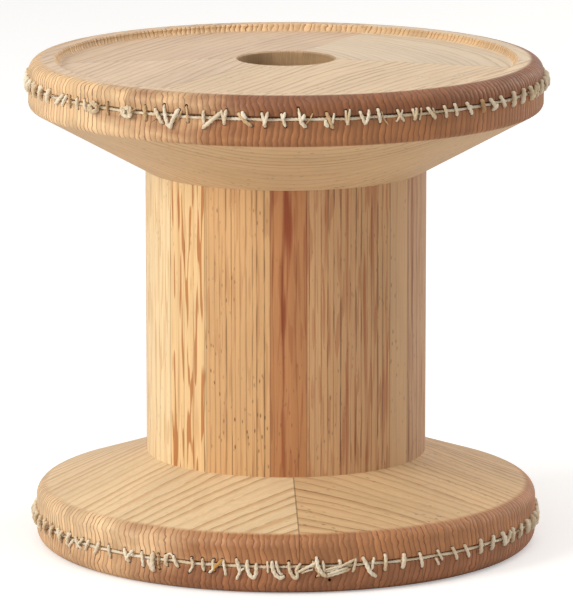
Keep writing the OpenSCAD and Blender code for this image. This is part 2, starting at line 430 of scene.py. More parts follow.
        # Painted shade: the outer band turns from pale to dark from the lit left round to the front
        # and right, and the blotch noise makes its edge wander
        front = add(tree, "Math", (parts[1], -1.0), operation="MULTIPLY")
        phi = add(tree, "Math", (parts[0], front), operation="ARCTAN2")
        phi = add(tree, "Math", (phi, 180 / math.pi, shade_wander), operation="MULTIPLY_ADD")
        dark = add(
            tree,
            "MapRange",
            (phi, e.shade_from, e.shade_to, 0.0, 1.0),
            interpolation_type="SMOOTHSTEP",
        )
        outer = add(tree, "MapRange", (radius, e.start_mm - 0.8, e.start_mm, 0.0, 1.0))
        dark = add(tree, "Math", (dark, outer), operation="MULTIPLY")
        colour = add(
            tree,
            "Mix",
            {0: dark, 6: linear(e.pale), 7: linear(e.dark)},
            out=2,
            data_type="RGBA",
        )
        strip = add(tree, "MapRange", (luck, 0.0, 1.0, 0.86, 1.10))
        blot = add(tree, "MapRange", (stain_and_shade_noise, 0.35, 0.7, 1.08, 0.80))
        level = add(tree, "Math", (strip, blot), operation="MULTIPLY")
        colour = add(tree, "VectorMath", {0: colour, "Scale": level}, operation="SCALE")
        colour = add(
            tree, "Mix", {0: line, 6: colour, 7: linear(e.line)}, out=2, data_type="RGBA"
        )
        round_top = add(tree, "MapRange", (near, 0.1, 0.5, 1.0, 0.0))
        return colour, round_top

    def edge_mask(
        self, tree: bpy.types.NodeTree, radius: bpy.types.NodeSocket
    ) -> bpy.types.NodeSocket:
        """Says where the end grain shows: the outer edge, the bore and the recess wall.

        Args:
            tree: The material's node tree.
            radius: The radius in mm.

        Returns:
            The mask, 0 on the face and 1 on the end grain.
        """
        e = self.edge
        mask = add(
            tree,
            "MapRange",
            (radius, e.start_mm, e.full_mm, 0.0, 1.0),
            interpolation_type="SMOOTHSTEP",
        )
        if e.wall_mm:
            rise = add(tree, "MapRange", (radius, e.wall_mm - 1.2, e.wall_mm - 0.8, 0.0, 1.0))
            fall = add(tree, "MapRange", (radius, e.wall_mm, e.wall_mm + 0.12, 1.0, 0.0))
            wall = add(tree, "Math", (rise, fall), operation="MULTIPLY")
            mask = add(tree, "Math", (mask, wall), operation="MAXIMUM")
            bore = add(
                tree,
                "MapRange",
                (radius, self.bore_mm + 0.25, self.bore_mm + 0.5, 1.0, 0.0),
            )
            mask = add(tree, "Math", (mask, bore), operation="MAXIMUM")
        return mask

    def build(self) -> bpy.types.Material:
        """Builds the material.

        Returns:
            The finished material.
        """
        material, tree = new_material(self.name)
        mm, along, radius = self.coordinates(tree)
        colour, height = self.face(tree, along)
        if self.edge:
            end_colour, end_height = self.end_grain(tree, mm, radius)
            mask = self.edge_mask(tree, radius)
            colour = add(
                tree, "Mix", {0: mask, 6: colour, 7: end_colour}, out=2, data_type="RGBA"
            )
            height = add(
                tree, "Mix", {0: mask, 2: height, 3: end_height}, data_type="FLOAT"
            )
        colour = self.glue_lines(tree, mm, colour)
        bump = add(
            tree,
            "Bump",
            {"Strength": 0.9, "Distance": self.relief_mm * MM, "Height": height},
        )
        sheen = self.noise(tree, along, (6, 1.2, 1.2), 2.0, 70.0)
        rough = add(
            tree,
            "MapRange",
            (sheen, 0.3, 0.7, self.roughness - 0.06, self.roughness + 0.08),
        )
        surface = add(
            tree,
            "BsdfPrincipled",
            {"Base Color": colour, "Roughness": rough, "Normal": bump, "IOR": 1.5},
        )
        add(tree, "OutputMaterial", (surface,))
        return material

    def glue_lines(
        self,
        tree: bpy.types.NodeTree,
        mm: bpy.types.NodeSocket,
        colour: bpy.types.NodeSocket,
    ) -> bpy.types.NodeSocket:
        """Darkens the fine glue line where this piece meets the next.

        Args:
            tree: The material's node tree.
            mm: The point in mm.
            colour: The colour so far.

        Returns:
            The colour with the glue lines.
        """
        for cut in self.cuts:
            turned = add(
                tree,
                "VectorRotate",
                {"Vector": mm, "Angle": -math.radians(cut)},
                rotation_type="Z_AXIS",
            )
            parts = add(tree, "SeparateXYZ", (turned,)).node.outputs
            off = add(tree, "Math", (parts[1],), operation="ABSOLUTE")
            line = add(tree, "MapRange", (off, 0.05, 0.20, 0.65, 0.0))
            dark = add(
                tree, "VectorMath", {0: colour, "Scale": 0.45}, operation="SCALE"
            )
            colour = add(
                tree, "Mix", {0: line, 6: colour, 7: dark}, out=2, data_type="RGBA"
            )
        return colour


# twine


@dataclass(frozen=True)
class TwineFinish:
    """Undyed spun twine. Its twisted plies give it a dull, slightly hairy look."""

    name: str
    light: str
    dark: str
    roughness: float = 0.85

    def build(self) -> bpy.types.Material:
        """Builds the material.

        Returns:
            The finished material. Its pattern follows the strand's own length and girth.
        """
        material, tree = new_material(self.name)
        place = add(tree, "TexCoord", out=2)
        fibre = add(
            tree,
            "VectorMath",
            (place, (0.9, 9.0, 1.0)),
            operation="MULTIPLY",
        )
        noise = add(tree, "TexNoise", {"Vector": fibre, "Scale": 3.0, "Detail": 2.0})
        world = add(tree, "TexCoord", out=3)
        blot = add(tree, "TexNoise", {"Vector": world, "Scale": 210.0, "Detail": 2.0})
        mix = add(tree, "Math", (noise, 0.5, blot), operation="MULTIPLY_ADD")
        mix = add(tree, "MapRange", (mix, 0.55, 1.0, 0.0, 1.0))
        colour = add(
            tree,
            "Mix",
            {0: mix, 6: linear(self.light), 7: linear(self.dark)},
            out=2,
            data_type="RGBA",
        )
        bump = add(
            tree, "Bump", {"Strength": 0.5, "Distance": 0.05 * MM, "Height": noise}
        )
        surface = add(
            tree,
            "BsdfPrincipled",
            {
                "Base Color": colour,
                "Roughness": self.roughness,
                "Normal": bump,
                "Sheen Weight": 0.25,
                "Sheen Roughness": 0.5,
            },
        )
        add(tree, "OutputMaterial", (surface,))
        return material


class Tone(Enum):
    """The shades of twine on the spool."""

    CREAM = "cream"
    TAN = "tan"
    GOLD = "gold"
    BROWN = "brown"


TWINE = {
    Tone.CREAM: TwineFinish("spun_twine_cream", "f1e6cf", "c9ae85"),
    Tone.TAN: TwineFinish("spun_twine_tan", "d9b98c", "a67c4d"),
    Tone.GOLD: TwineFinish("spun_twine_gold", "d9a653", "a8702a"),
    Tone.BROWN: TwineFinish("frayed_fibre_brown", "7a4a26", "4a2610"),
}


@dataclass
class Strand:
    """One length of twine, swept along its path with twisted plies.

    Args:
        points: The path in metres.
        radius: The strand's radius at each point, in metres.
        tone: Its shade.
        plies: How many plies are twisted together.
        pitch: The length of one full twist, in metres.
        sides: How many sides its section has.
    """

    points: np.ndarray
    radius: np.ndarray
    tone: Tone = Tone.CREAM
    plies: int = 2
    pitch: float = 2.2 * MM
    sides: int = 10

    def mesh(self) -> tuple[np.ndarray, list, np.ndarray]:
        """Sweeps the strand.

        Returns:
            Its vertices, its faces, and for each vertex its length and girth.
        """
        p = self.points
        step = np.linalg.norm(np.diff(p, axis=0), axis=1)
        length = np.concatenate([[0], np.cumsum(step)])
        way = np.gradient(p, axis=0)
        way /= np.linalg.norm(way, axis=1)[:, None] + 1e-12
        side = np.cross(way[0], (0.0, 0.0, 1.0))
        if np.linalg.norm(side) < 0.2:
            side = np.cross(way[0], (1.0, 0.0, 0.0))
        sides = []
        for w in way:
            side = side - w * np.dot(side, w)
            side = side / np.linalg.norm(side)
            sides.append(side)
        a = np.array(sides)
        b = np.cross(way, a)
        turn = np.linspace(0, 2 * math.pi, self.sides, endpoint=False)
        twist = 2 * math.pi * length / self.pitch
        lobe = 1 + 0.15 * np.cos(self.plies * (turn[None, :] - twist[:, None]))
        r = self.radius[:, None] * lobe * 1.02
        ring = (
            p[:, None, :]
            + a[:, None, :] * (r * np.cos(turn))[..., None]
            + b[:, None, :] * (r * np.sin(turn))[..., None]
        )
        n, k = len(p), self.sides
        verts = ring.reshape(-1, 3)
        faces = []
        for i in range(n - 1):
            for j in range(k):
                j2 = (j + 1) % k
                faces.append((i * k + j, i * k + j2, (i + 1) * k + j2, (i + 1) * k + j))
        faces.append(tuple(range(k - 1, -1, -1)))
        faces.append(tuple((n - 1) * k + j for j in range(k)))
        marks = np.stack(
            [
                np.repeat(length / MM, k),
                (np.tile(turn, n) - np.repeat(twist, k) * 0.5) / (2 * math.pi),
            ],
            1,
        )
        return verts, faces, marks


def smooth_path(knots: np.ndarray, step: float) -> np.ndarray:
    """Runs a smooth curve through given points.

    Args:
        knots: The points, one row each, of any width.
        step: The wanted distance between the curve's points, in the knots' own units.

    Returns:
        The curve's points.
    """
    knots = np.asarray(knots, float)
    if len(knots) == 2:
        knots = np.stack([knots[0], knots.mean(0), knots[1]])
    ends = np.vstack([2 * knots[0] - knots[1], knots, 2 * knots[-1] - knots[-2]])
    out = []
    for i in range(1, len(ends) - 2):
        p0, p1, p2, p3 = ends[i - 1 : i + 3]
        n = max(2, int(np.linalg.norm((p2 - p1)[:3]) / step))
        for t in np.linspace(0, 1, n, endpoint=False):
            out.append(
                0.5
                * (
                    2 * p1
                    + (p2 - p0) * t
                    + (2 * p0 - 5 * p1 + 4 * p2 - p3) * t**2
                    + (3 * p1 - p0 - 3 * p2 + p3) * t**3
                )
            )
    out.append(knots[-1])
    return np.array(out)


# the even stitches stand in the boards' own holes, so they share these values
LEANS = (0, 14, -18, 6, 22, -8, 0, -24, 12, 4, -14, 18, -4, 26, -10, 8)
EVEN_HALF_MM = 1.5
HOLE_MM = 1.15


@dataclass
class Stroke:
    """A stitch strand on a flange's edge, as drawn from the front.

    Args:
        path: Angle from the front in degrees, and height over the seam in mm, per point.
        radius: The strand's radius in mm.
        tone: Its shade.
        taper: How much of the radius is left at its first point.
        lift: Extra distance from the wood in mm, where it crosses another strand.
    """

    path: tuple
    radius: float = 0.38
    tone: Tone = Tone.CREAM
    taper: float = 1.0
    lift: float = 0.0


@dataclass
class LacedEdge:
    """The lacing round one flange: the seam cord, its stitches and their loose fibres.

    Args:
        name: The flange's name, upper or lower.
        edge_mm: The flange's radius.
        seam_mm: The height of the seam.
        mid_mm: The height that the strokes are drawn from.
        strokes: The stitches that the front shows.
        arc: The angles, from the front, between which even stitches fill the edge.
        even: How many even stitches there are.
        cord_radius_mm: The seam cord's radius.
        cord_in_mm: How far the cord's middle lies inside the edge.
    """

    name: str
    edge_mm: float
    seam_mm: float
    mid_mm: float
    strokes: list[Stroke]
    arc: tuple[float, float]
    even: int
    cord_radius_mm: float = 0.34
    cord_in_mm: float = 0.44
    chance: random.Random = field(default_factory=lambda: random.Random(SEED))

    def point(self, phi: float, dz: float, lift: float) -> np.ndarray:
        """Places a point on the edge.

        Args:
            phi: Angle from the front, in degrees, positive to the right.
            dz: Height over the drawing's middle line, in mm.
            lift: Distance outwards from the wood, in mm.

        Returns:
            The point in metres.
        """
        a = math.radians(phi)
        r = (self.edge_mm + lift) * MM
        return np.array(
            [r * math.sin(a), -r * math.cos(a), (self.mid_mm + dz) * MM]
        )

    def reach_holes(self, path: tuple) -> list:
        """Draws out the ends of a path that crosses the seam, to where the holes are.

        Args:
            path: Angle and height of each point, as in Stroke.

        Returns:
            The path, with its ends at least as far from the seam as the holes.
        """
        over = self.seam_mm - self.mid_mm
        first, last = path[0], path[-1]
        high, low = first[1] - over, last[1] - over
        if min(abs(high), abs(low)) < 0.2 or high * low > 0 or abs(high - low) < 1.2:
            return list(path)
        slope = (first[0] - last[0]) / (high - low)
        out = list(path)
        for spot, height, at in ((first, high, 0), (last, low, len(path))):
            if abs(height) < HOLE_MM:
                more = math.copysign(HOLE_MM, height) - height
                out.insert(at if at == 0 else len(out), (spot[0] + more * slope, spot[1] + more))
        return out

    def strand(self, stroke: Stroke) -> Strand:
        """Turns a stroke into a strand that starts and ends inside the wood.

        Args:
            stroke: The stroke.

        Returns:
            The strand.
        """
        path = self.reach_holes(stroke.path)
        knots = [(phi * self.edge_mm * math.pi / 180, dz) for phi, dz in path]
        line = smooth_path(np.array(knots), 0.16)
        n = len(line)
        t = np.linspace(0, 1, n)
        rise = np.clip(np.minimum(t, 1 - t) / 0.12, 0, 1) ** 0.5
        bulge = np.sin(math.pi * t) ** 2
        lift = -0.10 + rise * (stroke.radius + 0.06) + bulge * 0.16 + rise * stroke.lift
        points = [
            self.point(s / self.edge_mm * 180 / math.pi, z, up)
            for (s, z), up in zip(line, lift)
        ]
        size = np.full(n, stroke.radius * MM)
        size *= stroke.taper + (1 - stroke.taper) * np.clip(t / 0.6, 0, 1)
        size *= 0.62 + 0.38 * rise
        return Strand(np.array(points), size, stroke.tone)

    def invented(self) -> list[Stroke]:
        """Makes the stitches of the sides and back, in the manner of the front ones.

        Returns:
            The strokes.
        """
        pick = self.chance
        made = []
        over = self.seam_mm - self.mid_mm
        start, end = self.arc
        for k in range(self.even):
            phi = start + (end - start) * (k + 0.5) / self.even
            side = abs((phi + 180) % 360 - 180)
            thick = 0.34 + 0.10 * pick.random() + (0.05 if 55 < side < 100 else 0.0)
            tilt = math.radians(LEANS[k % len(LEANS)])
            lean = -EVEN_HALF_MM * math.sin(tilt) / self.edge_mm * 180 / math.pi
            top = over + EVEN_HALF_MM * math.cos(tilt)
            low = over - EVEN_HALF_MM * math.cos(tilt)
            tone = Tone.TAN if pick.random() < 0.16 else Tone.CREAM
            kind = pick.random()
            a = (phi - lean, top)
            b = (phi + lean * 0.2, 0.1)
            c = (phi + lean, low)
            made.append(Stroke((a, b, c), thick, tone))
            if kind < 0.34:
                d = (phi + lean + 1.1, top - 0.2)
                made.append(Stroke((d, (phi + lean + 0.5, 0.0), c), thick * 0.8, lift=0.3))
            elif kind < 0.50:
                d, e = (phi + lean + 0.5, top - 0.3), (phi - lean - 0.4, low + 0.3)
                made.append(Stroke((d, e), thick * 0.75, lift=0.55))
            elif kind < 0.58:
                d = (phi + lean + 2.6, 0.9)
                made.append(Stroke((c, (phi + lean + 1.4, -0.4), d), thick * 0.7, lift=0.2))
        return made

    def fibres(self) -> list[Strand]:
        """Makes the loose brown and pale fibres that fray out beside the stitches.

        Returns:
            The fibres.
        """
        pick = self.chance
        made = []
        for _ in range(150):
            phi = pick.uniform(-180, 180)
            side = abs(phi)
            if side < 50 and pick.random() < 0.7:
                continue
            dz = pick.uniform(-0.9, 0.7)
            run = pick.uniform(-2.2, 2.2)
            out = pick.uniform(0.3, 0.95)
            fall = pick.uniform(-1.6, 1.2)
            knots = np.array(
                [
                    (phi, dz, -0.3),
                    (phi + run * 0.4, dz + fall * 0.3, out * 0.8),
                    (phi + run, dz + fall, out),
                ]
            )
            line = smooth_path(knots, 0.5)
            points = np.array([self.point(*k) for k in line])
            size = np.linspace(0.085, 0.03, len(points)) * MM
            tone = Tone.BROWN if pick.random() < 0.5 else Tone.TAN
            made.append(Strand(points, size, tone, 1, 1.0, 4))
        return made

    def cord(self) -> Strand:
        """Makes the cord that lies in the seam all the way round.

        Returns:
            The cord, closed on itself.
        """
        n = 1400
        turn = np.linspace(0, 2 * math.pi, n)
        wave = 0.05 * np.sin(turn * 23) + 0.04 * np.sin(turn * 41 + 1)
        r = (self.edge_mm - self.cord_in_mm + 0.05 * np.sin(turn * 31)) * MM
        z = (self.seam_mm - 0.12 + wave) * MM
        points = np.stack([r * np.sin(turn), -r * np.cos(turn), z], 1)
        size = self.cord_radius_mm * (1 + 0.12 * np.sin(turn * 57)) * MM
        return Strand(points, size, Tone.CREAM, 2, 1.6 * MM, 8)


# strokes of the upper edge, read off the front view
UPPER_STROKES = [
    Stroke(((-58.2, 0.6), (-59.3, -0.3), (-60.6, -1.2)), 0.36),
    Stroke(((-56.4, 0.5), (-56.9, -0.2), (-57.6, -1.0)), 0.32),
    Stroke(((-54.6, 1.2), (-54.5, 0.4), (-54.6, -0.6)), 0.26, Tone.TAN),
    Stroke(((-51.8, 0.9), (-51.7, 0.0), (-51.7, -0.8)), 0.30),
    Stroke(((-49.2, 1.0), (-49.0, 0.2), (-48.9, -0.6)), 0.26),
    Stroke(((-41.9, 1.4), (-41.9, 0.4), (-41.8, -0.9)), 0.28, Tone.TAN),
    Stroke(((-31.7, 1.67), (-31.6, 0.2), (-31.5, -1.3)), 0.36, Tone.TAN),
    Stroke(((-29.0, 1.03), (-28.1, -0.4), (-27.3, -1.65)), 0.40),
    Stroke(((-27.0, 2.3), (-26.6, 0.3), (-25.8, -2.4)), 0.42, taper=0.5),
    Stroke(((-23.5, 1.5), (-24.4, -0.2), (-25.5, -2.5)), 0.42, lift=0.25),
    Stroke(((-22.9, 1.1), (-23.5, -0.2), (-24.2, -1.2)), 0.20, Tone.TAN),
    Stroke(((-21.8, 2.4), (-21.5, 1.0), (-21.4, -0.8)), 0.25, Tone.TAN, 0.5),
    Stroke(((-17.8, 1.6), (-17.8, 0.1), (-17.7, -1.3)), 0.32),
    Stroke(((-14.2, 1.15), (-16.0, -0.4), (-18.1, -2.1)), 0.40, lift=0.2),
    Stroke(((-15.5, 1.5), (-15.1, 0.8), (-14.8, 0.2)), 0.22, Tone.TAN),
    Stroke(((-13.9, 1.8), (-13.4, 0.2), (-13.2, -1.2)), 0.30),
    Stroke(((-12.8, 1.9), (-13.0, 0.3), (-13.2, -1.1)), 0.34, lift=0.25),
    Stroke(((-10.0, 1.1), (-8.8, -0.2), (-7.3, -1.3)), 0.36, Tone.TAN),
    Stroke(((-9.3, 1.6), (-8.9, 0.9), (-8.5, 0.4)), 0.40, lift=0.2),
    Stroke(((-5.2, 1.5), (-4.7, 0.1), (-4.4, -1.5)), 0.32),
    Stroke(((-3.9, 1.6), (-4.2, 0.3), (-4.6, -0.9)), 0.32, lift=0.3),
    Stroke(((-0.9, 1.0), (-0.5, -0.2), (-0.1, -1.4)), 0.30),
    Stroke(((-0.2, 1.6), (-0.5, 0.7), (-0.7, 0.1)), 0.28, lift=0.2),
    Stroke(((2.6, 2.5), (2.9, 1.0), (3.3, -0.5), (4.2, -1.5)), 0.42, taper=0.4),
    Stroke(((3.9, 1.1), (3.6, 0.5), (3.3, 0.1)), 0.35, lift=0.2),
    Stroke(((5.6, 1.2), (5.1, 0.2), (4.4, -0.6)), 0.15, Tone.TAN),
    Stroke(((8.6, 1.45), (9.2, 0.0), (10.0, -1.9)), 0.36, Tone.TAN),
    Stroke(((8.4, -0.2), (8.5, -0.9), (8.9, -1.4)), 0.42),
    Stroke(((10.2, 1.0), (10.0, 0.2), (9.9, -0.6)), 0.22, lift=0.3),
    Stroke(((12.8, 1.8), (12.9, 0.4), (13.1, -1.0)), 0.26),
    Stroke(((13.7, 2.0), (13.4, 0.5), (13.2, -1.0)), 0.26, lift=0.2),
    Stroke(((15.9, 1.5), (16.4, 0.2), (17.0, -1.0)), 0.34),
    Stroke(((17.9, 1.7), (17.6, 0.3), (17.2, -0.9)), 0.32, lift=0.2),
    Stroke(((19.9, 1.9), (20.2, 0.4), (20.5, -1.1)), 0.32),
    Stroke(((20.9, 1.0), (21.3, -0.3), (22.4, -1.6)), 0.14, Tone.TAN),
    Stroke(((24.5, 1.2), (25.0, 0.2), (25.9, -0.9)), 0.30),
    Stroke(((25.2, 0.5), (24.7, -0.2), (24.3, -0.9)), 0.20, lift=0.2),
    Stroke(((28.1, 1.3), (28.3, 0.5), (28.6, -0.6)), 0.30),
    Stroke(((29.0, 1.4), (28.8, 0.5), (28.6, -0.5)), 0.32, lift=0.2),
    Stroke(((30.2, 1.2), (30.1, 0.2), (29.8, -1.0)), 0.20),
    Stroke(((31.8, 1.3), (32.6, 0.2), (33.7, -0.9)), 0.38),
    Stroke(((33.2, 1.1), (33.3, 0.5), (33.5, 0.1)), 0.20, lift=0.1),
    Stroke(((36.2, 1.0), (36.5, 0.2), (36.7, -0.9)), 0.34),
    Stroke(((39.0, 1.5), (39.3, 0.5), (39.6, -0.7)), 0.34),
    Stroke(((42.6, 1.15), (43.3, 0.0), (44.2, -1.3)), 0.36),
    Stroke(((43.9, 0.6), (43.6, 0.3), (43.4, -0.2)), 0.25, lift=0.2),
    Stroke(((47.2, 1.1), (47.4, 0.2), (47.6, -0.7)), 0.45, Tone.TAN),
    Stroke(((50.3, 1.0), (50.9, 0.3), (51.5, -0.4)), 0.40),
    Stroke(((52.7, -0.3), (51.9, -0.6), (51.1, -1.1)), 0.36),
    Stroke(((53.8, 1.2), (54.5, 0.3), (55.3, -0.7)), 0.40),
]

# strokes of the lower edge, read off the front view
LOWER_STROKES = [
    Stroke(((-56.5, -0.2), (-57.3, -1.0), (-58.2, -1.8)), 0.30),
    Stroke(((-53.0, 0.5), (-53.8, -0.3), (-54.6, -1.2)), 0.30),
    Stroke(((-54.5, 0.4), (-54.0, -0.2), (-53.3, -0.9)), 0.26, lift=0.3),
    Stroke(((-50.3, 0.8), (-50.9, -0.3), (-51.5, -1.3)), 0.30),
    Stroke(((-46.9, 0.6), (-47.3, -0.4), (-48.2, -1.5)), 0.34),
    Stroke(((-43.5, 0.7), (-43.2, -0.5), (-43.0, -1.5)), 0.30),
    Stroke(((-38.6, 0.6), (-38.1, -0.5), (-37.4, -1.6)), 0.34),
    Stroke(((-36.6, 0.6), (-37.4, -0.4), (-38.1, -1.4)), 0.30, lift=0.35),
    Stroke(((-33.9, 0.6), (-33.6, -0.7), (-33.5, -2.2)), 0.30),
    Stroke(((-30.9, 1.1), (-30.9, -0.8), (-30.7, -2.8)), 0.46),
    Stroke(((-32.3, -0.6), (-31.6, -1.4), (-30.9, -2.8)), 0.38),
    Stroke(((-29.6, 0.7), (-29.5, -0.8), (-29.3, -2.2)), 0.20, Tone.TAN),
    Stroke(((-27.4, 0.2), (-27.1, 1.2), (-26.4, 1.45), (-25.8, 0.9), (-25.6, 0.2)), 0.22),
    Stroke(((-27.6, 0.2), (-27.5, -0.6), (-27.3, -1.3)), 0.34),
    Stroke(((-25.6, 0.7), (-25.2, -0.2), (-24.7, -1.0)), 0.34),
    Stroke(((-21.4, 0.8), (-21.0, 0.0), (-21.1, -0.9), (-22.0, -2.2)), 0.26),
    Stroke(((-18.7, 0.5), (-18.6, -0.7), (-18.4, -1.6)), 0.30),
    Stroke(((-14.4, 0.8), (-15.4, -0.1), (-16.2, -0.9), (-16.0, -1.4)), 0.34, Tone.GOLD),
    Stroke(((-16.3, 0.6), (-16.2, -0.4), (-16.4, -1.2), (-17.3, -1.9)), 0.25, lift=0.3),
    Stroke(((-13.8, 0.2), (-13.5, -1.2), (-13.4, -2.3)), 0.30),
    Stroke(((-11.0, 1.4), (-10.6, 0.3), (-10.2, -1.2)), 0.38),
    Stroke(((-10.0, -0.9), (-10.5, -2.0), (-11.0, -3.0)), 0.28),
    Stroke(((-9.2, -0.5), (-9.7, -0.8), (-10.3, -1.2)), 0.20, lift=0.2),
    Stroke(
        ((-8.6, 1.2), (-8.5, -0.5), (-8.0, -1.8), (-7.2, -2.4), (-6.6, -1.5), (-6.6, 0.55)),
        0.40,
    ),
    Stroke(((-4.1, 0.75), (-4.0, -0.3), (-4.0, -1.4)), 0.24),
    Stroke(((-3.1, 1.1), (-2.9, -0.5), (-2.2, -1.8), (-1.2, -2.4), (-0.4, -2.1)), 0.42),
    Stroke(((-2.2, 1.1), (-1.9, -0.2), (-1.4, -1.3), (-0.8, -1.8)), 0.30),
    Stroke(
        ((0.6, 0.9), (0.8, -0.7), (1.4, -1.9), (2.1, -2.5), (2.5, -1.8), (2.3, -0.6), (3.2, 0.6)),
        0.36,
    ),
    Stroke(((2.9, -1.0), (4.2, -0.3), (5.7, 0.4)), 0.30, lift=0.3),
    Stroke(((3.3, -1.4), (4.6, -0.9), (6.0, -0.6)), 0.20, lift=0.3),
    Stroke(((6.0, 0.8), (6.8, -0.8), (7.4, -1.7), (6.8, -2.3)), 0.28, Tone.TAN),
    Stroke(((6.7, 1.9), (6.9, 0.3), (7.6, -1.1), (8.8, -2.3)), 0.42, lift=0.25),
    Stroke(((8.2, 0.5), (8.3, -0.3), (8.4, -0.9)), 0.30, lift=0.2),
    Stroke(((11.8, 1.1), (12.0, 0.6), (12.0, 0.1)), 0.36),
    Stroke(((15.6, 1.2), (15.3, 0.0), (14.9, -1.6)), 0.30),
    Stroke(((17.2, 1.4), (18.0, -0.3), (18.9, -1.9), (20.4, -3.0)), 0.42),
    Stroke(((19.8, 1.1), (19.4, 0.2), (19.3, -0.9)), 0.30, lift=0.2),
    Stroke(((22.4, 1.7), (22.5, 0.2), (22.4, -1.9)), 0.34),
    Stroke(((27.0, 1.3), (26.9, 0.2), (26.7, -1.7)), 0.46),
    Stroke(((31.1, 1.1), (31.4, -0.3), (31.8, -2.1)), 0.34),
    Stroke(((36.0, 0.9), (36.4, 0.1), (36.9, -0.6)), 0.28),
    Stroke(((35.5, -0.6), (35.8, -1.3), (36.3, -2.1)), 0.28),
    Stroke(((40.3, 0.8), (40.9, -0.3), (41.6, -1.7)), 0.34),
    Stroke(((44.0, 0.8), (44.6, -0.4), (45.4, -1.8)), 0.34),
]

# the long strands fanned out low on the front
FAN_STROKES = [
    Stroke(((8.8, -2.3), (11.5, -1.6), (14.3, -0.9)), 0.30, lift=0.1),
    Stroke(((8.8, -1.9), (11.3, -1.1), (13.8, -0.5)), 0.26, lift=0.35),
    Stroke(((8.6, -1.3), (11.0, -0.6), (13.3, 0.35)), 0.28, lift=0.2),
    Stroke(((8.5, -0.8), (10.5, -0.3), (12.8, 0.0)), 0.20, lift=0.5),
]


def knot_strands(edge: LacedEdge, phi: float, dz: float, turns: int, tilt: float) -> list[Strand]:
    """Winds a small round knot that sits on the seam cord.

    Args:
        edge: The laced edge that it sits on.
        phi: Its angle from the front, in degrees.
        dz: Its height over the drawing's middle line, in mm.
        turns: How many wraps it has.
        tilt: The lean of the wraps, in degrees.

    Returns:
        Its strands: the wraps and two loose ends.
    """
    made = []
    a = math.radians(phi)
    out = np.array([math.sin(a), -math.cos(a), 0.0])
    right = np.array([math.cos(a), math.sin(a), 0.0])
    up = np.array([0.0, 0.0, 1.0])
    middle = edge.point(phi, dz, 0.62)
    for k in range(turns):
        lean = math.radians(tilt + 58 * k)
        u = right * math.cos(lean) + up * math.sin(lean)
        v = -right * math.sin(lean) + up * math.cos(lean)
        t = np.linspace(0, 2 * math.pi, 40)
        wide, tall, deep = 1.35 - 0.12 * k, 0.62 + 0.16 * (k % 2), 0.62
        ring = (
            middle
            + (u * wide * MM) * np.cos(t)[:, None]
            + (v * tall * MM) * np.sin(t)[:, None]
            + (out * deep * MM) * (0.25 + 0.55 * np.cos(2 * t + k))[:, None]
        )
        made.append(Strand(ring, np.full(40, 0.30 * MM), Tone.CREAM))
    for s in (-1, 1):
        tail = smooth_path(
            np.array(
                [
                    (phi + 0.6 * s, dz, 0.5),
                    (phi + 1.6 * s, dz + 0.5 * s, 0.8),
                    (phi + 2.5 * s, dz + 1.1 * s, 0.5),
                ]
            ),
            0.25,
        )
        points = np.array([edge.point(*k) for k in tail])
        made.append(Strand(points, np.linspace(0.26, 0.10, len(points)) * MM, Tone.TAN))
    return made


def twine_piece(name: str, strands: list[Strand], nodes: tuple[str, ...]) -> bpy.types.Object:
    """Joins strands into one piece that stands for the given nodes.

    Args:
        name: The piece's name.
        strands: Its strands.
        nodes: The plain nodes that it replaces.

    Returns:
        The piece, riding on the spool.
    """
    tones = list(dict.fromkeys(s.tone for s in strands))
    verts, faces, marks, which = [], [], [], []
    base = 0
    for s in strands:
        v, f, m = s.mesh()
        verts.append(v)
        marks.append(m)
        faces.extend(tuple(i + base for i in face) for face in f)
        which.extend([tones.index(s.tone)] * len(f))
        base += len(v)
    mesh = bpy.data.meshes.new(name)
    mesh.from_pydata(np.vstack(verts).tolist(), [], faces)
    mesh.polygons.foreach_set("material_index", which)
    mesh.polygons.foreach_set("use_smooth", [True] * len(faces))
    for tone in tones:
        mesh.materials.append(twine_material(tone))
    layer = mesh.uv_layers.new(name="strand")
    corner = np.empty(len(mesh.loops), np.int32)
    mesh.loops.foreach_get("vertex_index", corner)
    layer.data.foreach_set("uv", np.vstack(marks)[corner].ravel())
    mesh.update()
    piece = bpy.data.objects.new(name, mesh)
    bpy.context.scene.collection.objects.link(piece)
    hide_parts(*nodes)
    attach(piece, "root")
    log.info("%s: %d strands, %d vertices", name, len(strands), base)
    return piece


def twine_material(tone: Tone) -> bpy.types.Material:
    """Gives the twine material of a tone, built the first time it is asked for."""
    finish = TWINE[tone]
    return bpy.data.materials.get(finish.name) or finish.build()


@dataclass
class Lacing:
    """All the twine on the spool."""

    upper: LacedEdge = field(
        default_factory=lambda: LacedEdge(
            "upper", 56.0, 102.1, 101.95, UPPER_STROKES, (56.8, 298.2), 53
        )
    )
    lower: LacedEdge = field(
        default_factory=lambda: LacedEdge(
            "lower", 54.8, 6.2, 6.3, LOWER_STROKES, (46.9, 304.0), 57
        )
    )

    def build(self) -> None:
        """Builds the cords, stitches, knots and long strands."""
        for edge in (self.upper, self.lower):
            strands = [edge.strand(s) for s in edge.strokes + edge.invented()]
            strands += edge.fibres()
            twine_piece(f"{edge.name}_stitch_twine", strands, (f"{edge.name}_stitches",))
            twine_piece(f"{edge.name}_cord_twine", [edge.cord()], (f"{edge.name}_seam_cord",))
        knots = knot_strands(self.upper, -45.6, 0.1, 4, 20)
        knots += knot_strands(self.upper, -36.0, 0.1, 4, -30)
        twine_piece("upper_knot_twine", knots, ("upper_knots",))
        fan = [self.lower.strand(s) for s in FAN_STROKES]
        twine_piece("lower_fan_twine", fan, ("lower_fan_strands",))


# wooden parts


